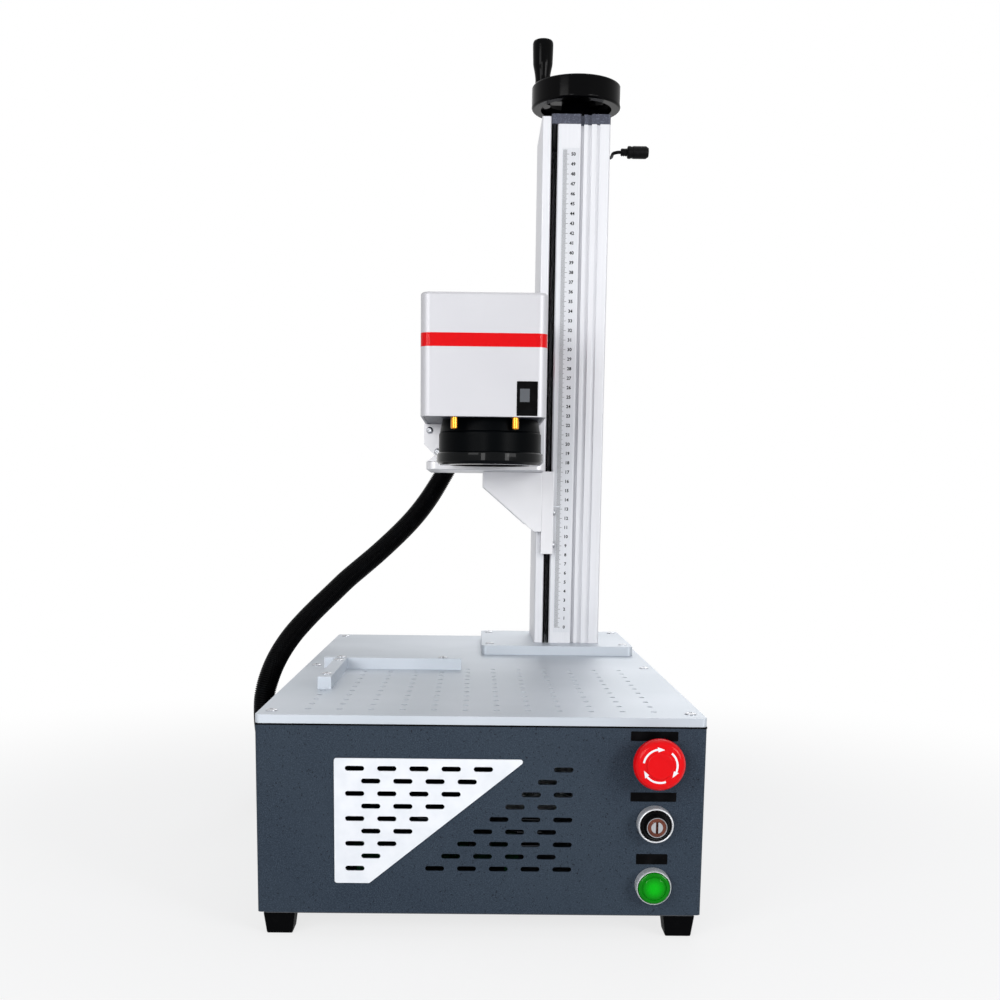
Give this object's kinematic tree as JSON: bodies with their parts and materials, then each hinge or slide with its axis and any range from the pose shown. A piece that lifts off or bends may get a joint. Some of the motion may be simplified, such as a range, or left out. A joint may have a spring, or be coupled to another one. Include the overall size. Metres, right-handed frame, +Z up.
{
  "type": "laser marking machine",
  "caption": "Bench laser marking machine: sheet-steel cabinet with drilled work plate, hand-cranked lift column, marking head with scan lens, ribbed hose and front controls.",
  "frame": {"origin": "on the floor under the middle of the machine, at the middle of its box without the hose and the lead", "axes": "+X to the operator's right, +Y to the rear, +Z up; the controls face -Y"},
  "size_m": [0.4289, 0.6289, 0.8371],
  "materials": {
    "cabinet_paint": "fine-textured powder coat, satin",
    "dark_steel": "black powder coat on sheet steel",
    "white_paint": "smooth white paint, satin",
    "black_paint": "matt black paint on a ribbed casting",
    "zinc_case": "plain galvanised sheet",
    "anodised_plate": "matt bead-blasted and clear anodised",
    "anodised_column": "extruded and clear anodised, fine drawn lines",
    "bracket_aluminium": "milled and clear anodised, satin",
    "dark_anodised": "dark grey anodised, satin",
    "black_anodised": "black anodised, satin, with a bright turned band",
    "scale_foil": "printed scale film with plain numbers",
    "bright_steel": "ground bright steel",
    "bronze": "cast bronze, turned",
    "black_gloss": "polished black phenolic moulding",
    "black_rubber": "moulded black rubber",
    "black_plastic": "moulded black plastic, fine grain",
    "red_plastic": "glossy red moulding with three plain white arrows",
    "green_lens": "clear green lamp lens over a reflector",
    "chrome": "polished chrome bezel",
    "copper_lock": "turned copper-coloured lock face",
    "circuit_board": "green circuit board with black parts",
    "head_paint": "silver-grey anodised head cover with one red band",
    "brass": "turned brass lamp tubes",
    "lens_glass": "coated dark scan lens",
    "mirror": "coated scan mirror",
    "hose_plastic": "corrugated black polyamide conduit",
    "cable_plastic": "black cable sheath"
  },
  "bodies": {
    "root": {"base_tray": "dark_steel", "cabinet_wrap": "cabinet_paint", "rear_panel": "cabinet_paint", "vent_plate": "white_paint", "deck_plate": "anodised_plate", "deck_screws": "bright_steel", "feet": "black_rubber", "stop_bar_cross": "anodised_plate", "stop_bar_side": "anodised_plate", "estop_collar": "black_plastic", "key_bezel": "chrome", "lamp_bezel": "chrome", "switch_backs": "black_plastic", "laser_source": "black_paint", "power_supply": "zinc_case", "control_board": "circuit_board", "fan_frame": "black_plastic", "power_inlet": "black_plastic", "column_flange": "anodised_plate", "flange_screws": "bright_steel", "column_extrusion": "anodised_column", "column_cover": "anodised_column", "slot_seals": "black_rubber", "column_cap": "dark_anodised", "ruler_scale": "scale_foil", "guide_rails": "bright_steel", "screw_bearings": "bright_steel", "hose_elbow": "black_plastic", "hose": "hose_plastic", "lift_lead": "cable_plastic", "lift_plug": "black_plastic"},
    "lift_screw": {"lead_screw": "bright_steel", "handwheel": "black_gloss"},
    "grip": {"crank_grip": "black_gloss"},
    "carriage": {"lift_nut": "bronze", "carriage_core": "anodised_plate", "carriage_saddle": "bracket_aluminium", "carriage_ears": "bracket_aluminium", "bracket_gussets": "bracket_aluminium", "shelf_plate": "bracket_aluminium", "riser_plates": "bracket_aluminium", "bracket_screws": "bright_steel", "scale_pointer": "white_paint", "head_housing": "head_paint", "head_base": "dark_anodised", "lens_neck": "black_anodised", "lens_barrel": "black_anodised", "lens_ring": "bright_steel", "lens_glass": "lens_glass", "pointer_lamps": "brass", "galvo_motors": "black_anodised", "beam_collimator": "dark_anodised", "hose_gland": "black_plastic"},
    "mirror_x": {"galvo_mirror_x": "mirror"},
    "mirror_y": {"galvo_mirror_y": "mirror"},
    "stop_plunger": {"estop_plunger": "black_plastic"},
    "stop_button": {"estop_button": "red_plastic"},
    "key": {"key_barrel": "copper_lock"},
    "lamp": {"lamp_cap": "green_lens"},
    "fan": {"fan_rotor": "black_plastic"}
  },
  "joints": [
    {"name": "wheel_turn", "type": "hinge", "parent": "root", "child": "lift_screw", "pos_m": [0.09875, 0.204, 0.766], "axis": [0, 0, 1], "range_deg": [-12960, 6120]},
    {"name": "lift", "type": "slide", "parent": "root", "child": "carriage", "axis": [0, 0, 1], "range_m": [-0.085, 0.18], "deforming": ["hose"]},
    {"name": "grip_spin", "type": "hinge", "parent": "lift_screw", "child": "grip", "pos_m": [0.06175, 0.204, 0.81], "axis": [0, 0, 1], "continuous": true},
    {"name": "stop_push", "type": "slide", "parent": "root", "child": "stop_plunger", "axis": [0, 1, 0], "range_m": [0, 0.004], "stiffness_N_per_m": 2000},
    {"name": "stop_twist", "type": "hinge", "parent": "stop_plunger", "child": "stop_button", "pos_m": [0.1362, -0.303, 0.145], "axis": [0, 1, 0], "range_deg": [0, 45], "stiffness_Nm_per_rad": 0.05},
    {"name": "key_turn", "type": "hinge", "parent": "root", "child": "key", "pos_m": [0.1362, -0.293, 0.095], "axis": [0, 1, 0], "range_deg": [0, 90]},
    {"name": "lamp_push", "type": "slide", "parent": "root", "child": "lamp", "axis": [0, 1, 0], "range_m": [0, 0.003], "stiffness_N_per_m": 600},
    {"name": "fan_spin", "type": "hinge", "parent": "root", "child": "fan", "pos_m": [-0.095, 0.297, 0.095], "axis": [0, 1, 0], "continuous": true},
    {"name": "mirror_x_turn", "type": "hinge", "parent": "carriage", "child": "mirror_x", "pos_m": [-0.025, 0.0025, 0.4585], "axis": [0, 0, 1], "range_deg": [-12, 12]},
    {"name": "mirror_y_turn", "type": "hinge", "parent": "carriage", "child": "mirror_y", "pos_m": [0.007, 0.0025, 0.4585], "axis": [0, 1, 0], "range_deg": [-12, 12]}
  ],
  "couplings": [
    {"joint": "wheel_turn", "follows": "lift", "rad_per_m": -1256.6}
  ]
}
